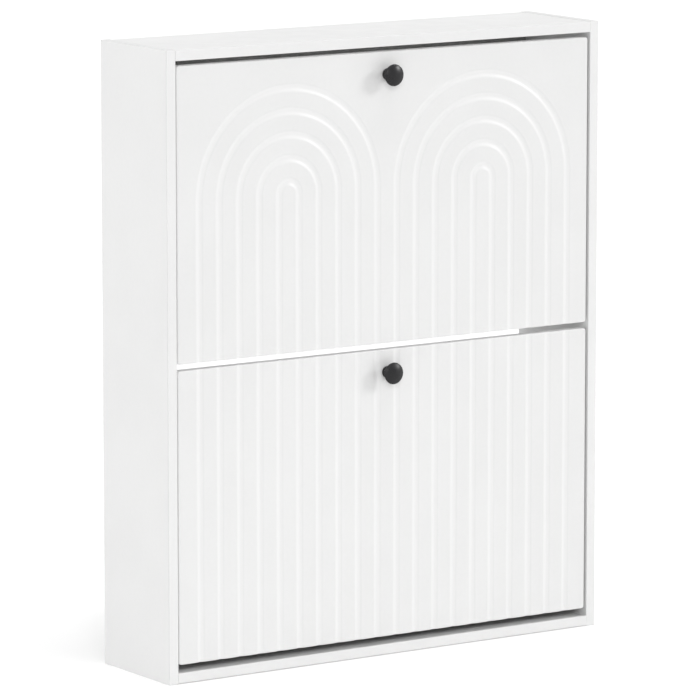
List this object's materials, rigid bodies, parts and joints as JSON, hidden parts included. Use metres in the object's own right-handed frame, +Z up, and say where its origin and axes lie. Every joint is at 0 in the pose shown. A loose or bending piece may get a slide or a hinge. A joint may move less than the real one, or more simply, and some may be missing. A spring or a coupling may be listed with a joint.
{
  "type": "shoe cabinet",
  "caption": "Slim shoe cabinet with tip-out flaps, milled arch and flute grooves, round knobs and inner shoe racks on an open-backed case.",
  "frame": {"origin": "on the floor, under the middle of the whole cabinet with its knobs", "axes": "+X to the right seen from the front, -Y out of the front, +Z up"},
  "size_m": [0.8, 0.2126, 0.97],
  "materials": {
    "side_panel_white": "satin white foil",
    "case_panel_white": "satin white foil",
    "rail_white": "satin white foil",
    "flap_white": "satin white film over milled board",
    "rack_white": "satin white foil",
    "knob_black": "satin",
    "bracket_plastic": "fine texture",
    "pivot_plastic": "smooth",
    "beech": "raw, fluted",
    "zinc": "die cast",
    "steel": "zinc plated"
  },
  "bodies": {
    "case": {"left_side_panel": "side_panel_white", "right_side_panel": "side_panel_white", "top_panel": "case_panel_white", "bottom_panel": "case_panel_white", "top_back_rail": "rail_white", "middle_back_rail": "rail_white", "bottom_back_rail": "rail_white", "cam_locks": "zinc", "cam_bolts": "steel", "dowels": "beech", "lower_left_pivot_plate": "pivot_plastic", "lower_right_pivot_plate": "pivot_plastic", "upper_left_pivot_plate": "pivot_plastic", "upper_right_pivot_plate": "pivot_plastic", "pivot_plate_screws": "steel"},
    "lower_flap": {"lower_flap_front": "flap_white", "lower_knob": "knob_black", "lower_knob_screw": "steel", "lower_left_flip_bracket": "bracket_plastic", "lower_right_flip_bracket": "bracket_plastic", "lower_rack_lower_sole_board": "rack_white", "lower_rack_lower_toe_board": "rack_white", "lower_rack_upper_sole_board": "rack_white", "lower_rack_upper_toe_board": "rack_white", "lower_bracket_screws": "steel"},
    "upper_flap": {"upper_flap_front": "flap_white", "upper_knob": "knob_black", "upper_knob_screw": "steel", "upper_left_flip_bracket": "bracket_plastic", "upper_right_flip_bracket": "bracket_plastic", "upper_rack_lower_sole_board": "rack_white", "upper_rack_lower_toe_board": "rack_white", "upper_rack_upper_sole_board": "rack_white", "upper_rack_upper_toe_board": "rack_white", "upper_bracket_screws": "steel"}
  },
  "joints": [
    {"name": "lower_flap_hinge", "type": "hinge", "parent": "case", "child": "lower_flap", "pos_m": [0, -0.05525, 0.079], "axis": [1, 0, 0], "range_deg": [0, 55]},
    {"name": "upper_flap_hinge", "type": "hinge", "parent": "case", "child": "upper_flap", "pos_m": [0, -0.05525, 0.542], "axis": [1, 0, 0], "range_deg": [0, 55]}
  ]
}
